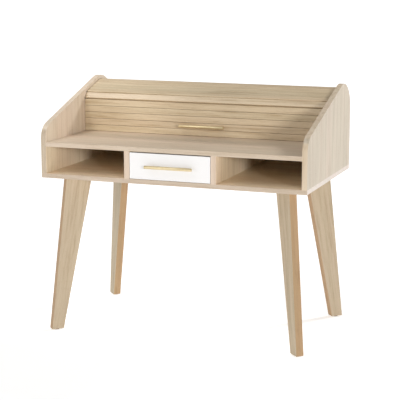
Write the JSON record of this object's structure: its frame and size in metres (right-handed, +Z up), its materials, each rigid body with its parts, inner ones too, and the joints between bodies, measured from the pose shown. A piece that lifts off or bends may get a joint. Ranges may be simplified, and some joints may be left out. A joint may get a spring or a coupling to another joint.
{
  "type": "roll top desk",
  "caption": "Writing desk on splayed plank legs with open niches, a centre drawer and a slatted tambour that rolls back over the hutch.",
  "frame": {"origin": "on the floor, below the centre of the bounding box", "axes": "+Z up, -Y is the front, +X is to the right of a person facing the front"},
  "size_m": [1.06, 0.643, 0.962],
  "materials": {
    "oak_board": "pale oak melamine, satin",
    "slat_oak": "oak veneer slats, satin",
    "leg_oak": "solid oak, clear matt lacquer",
    "lining_board": "pale oak melamine, matt",
    "white_front": "white satin lacquer on board",
    "brass_bar": "brushed satin brass",
    "steel": "zinc plated steel",
    "beech_dowel": "plain beech",
    "glide_plastic": "black moulded plastic"
  },
  "bodies": {
    "carcass": {"bottom_board": "oak_board", "side_panel_left": "oak_board", "side_panel_right": "oak_board", "worktop": "oak_board", "divider_left": "oak_board", "divider_right": "oak_board", "back_panel": "lining_board", "inner_back": "lining_board", "inner_roof": "lining_board", "panel_dowels": "beech_dowel", "divider_dowels": "beech_dowel", "cam_housings": "steel", "cam_bolts": "steel", "panel_screws": "steel", "back_panel_screws": "steel", "leg_front_left": "leg_oak", "leg_front_right": "leg_oak", "leg_rear_left": "leg_oak", "leg_rear_right": "leg_oak", "glide_front_left": "glide_plastic", "glide_front_right": "glide_plastic", "glide_rear_left": "glide_plastic", "glide_rear_right": "glide_plastic", "leg_studs": "steel", "cabinet_runner_left": "steel", "cabinet_runner_right": "steel", "runner_balls_left": "steel", "runner_balls_right": "steel"},
    "drawer": {"drawer_front": "white_front", "drawer_side_left": "lining_board", "drawer_side_right": "lining_board", "drawer_back": "lining_board", "drawer_bottom": "lining_board", "drawer_runner_left": "steel", "drawer_runner_right": "steel", "drawer_handle": "brass_bar", "drawer_handle_screws": "steel"},
    "tambour_roll": {"tambour_slat_12": "slat_oak", "tambour_slat_13": "slat_oak", "tambour_slat_14": "slat_oak", "tambour_slat_15": "slat_oak", "tambour_slat_16": "slat_oak"},
    "tambour_link_11": {"tambour_slat_11": "slat_oak"},
    "tambour_link_10": {"tambour_slat_10": "slat_oak"},
    "tambour_link_09": {"tambour_slat_09": "slat_oak"},
    "tambour_link_08": {"tambour_slat_08": "slat_oak"},
    "tambour_link_07": {"tambour_slat_07": "slat_oak"},
    "tambour_link_06": {"tambour_slat_06": "slat_oak"},
    "tambour_wall": {"tambour_slat_02": "slat_oak", "tambour_slat_03": "slat_oak", "tambour_slat_04": "slat_oak", "tambour_slat_05": "slat_oak", "tambour_handle": "brass_bar", "tambour_handle_screws": "steel"},
    "tambour_foot": {"tambour_slat_01": "slat_oak"}
  },
  "joints": [
    {"name": "drawer_slide", "type": "slide", "parent": "carcass", "child": "drawer", "axis": [0, -1, 0], "range_m": [0, 0.3]},
    {"name": "tambour_roll", "type": "hinge", "parent": "carcass", "child": "tambour_roll", "pos_m": [0, 0.2115, 0.852], "axis": [-1, 0, 0], "range_deg": [0, 85.77]},
    {"name": "tambour_bend_11", "type": "hinge", "parent": "tambour_roll", "child": "tambour_link_11", "pos_m": [0, 0.20076, 0.93783], "axis": [1, 0, 0], "range_deg": [0, 1.4]},
    {"name": "tambour_bend_10", "type": "hinge", "parent": "tambour_link_11", "child": "tambour_link_10", "pos_m": [0, 0.17577, 0.93143], "axis": [1, 0, 0], "range_deg": [0, 14.06]},
    {"name": "tambour_bend_09", "type": "hinge", "parent": "tambour_link_10", "child": "tambour_link_09", "pos_m": [0, 0.15117, 0.92367], "axis": [1, 0, 0], "range_deg": [0, 17.2]},
    {"name": "tambour_bend_08", "type": "hinge", "parent": "tambour_link_09", "child": "tambour_link_08", "pos_m": [0, 0.12656, 0.91592], "axis": [1, 0, 0], "range_deg": [0, 17.2]},
    {"name": "tambour_bend_07", "type": "hinge", "parent": "tambour_link_08", "child": "tambour_link_07", "pos_m": [0, 0.10195, 0.90816], "axis": [1, 0, 0], "range_deg": [0, 17.2]},
    {"name": "tambour_wall_swing", "type": "hinge", "parent": "carcass", "child": "tambour_wall", "pos_m": [0, 0.15469, 0.82813], "axis": [-1, 0, 0], "range_deg": [0, 72.55]},
    {"name": "tambour_bend_05", "type": "hinge", "parent": "tambour_wall", "child": "tambour_link_06", "pos_m": [0, 0.0625, 0.8793], "axis": [1, 0, 0], "range_deg": [0, 32.04]},
    {"name": "tambour_bend_01", "type": "hinge", "parent": "tambour_wall", "child": "tambour_foot", "pos_m": [0, 0.0625, 0.7761], "axis": [1, 0, 0], "range_deg": [0, 37.42]}
  ],
  "couplings": [
    {"joint": "tambour_bend_11", "follows": "tambour_roll", "ratio": 0.015689},
    {"joint": "tambour_bend_10", "follows": "tambour_roll", "ratio": 0.16339},
    {"joint": "tambour_bend_09", "follows": "tambour_roll", "ratio": 0.2},
    {"joint": "tambour_bend_08", "follows": "tambour_roll", "ratio": 0.2},
    {"joint": "tambour_bend_07", "follows": "tambour_roll", "ratio": 0.2},
    {"joint": "tambour_wall_swing", "follows": "tambour_roll", "ratio": 0.84532},
    {"joint": "tambour_bend_05", "follows": "tambour_roll", "ratio": 0.37303},
    {"joint": "tambour_bend_01", "follows": "tambour_roll", "ratio": 0.43568}
  ]
}
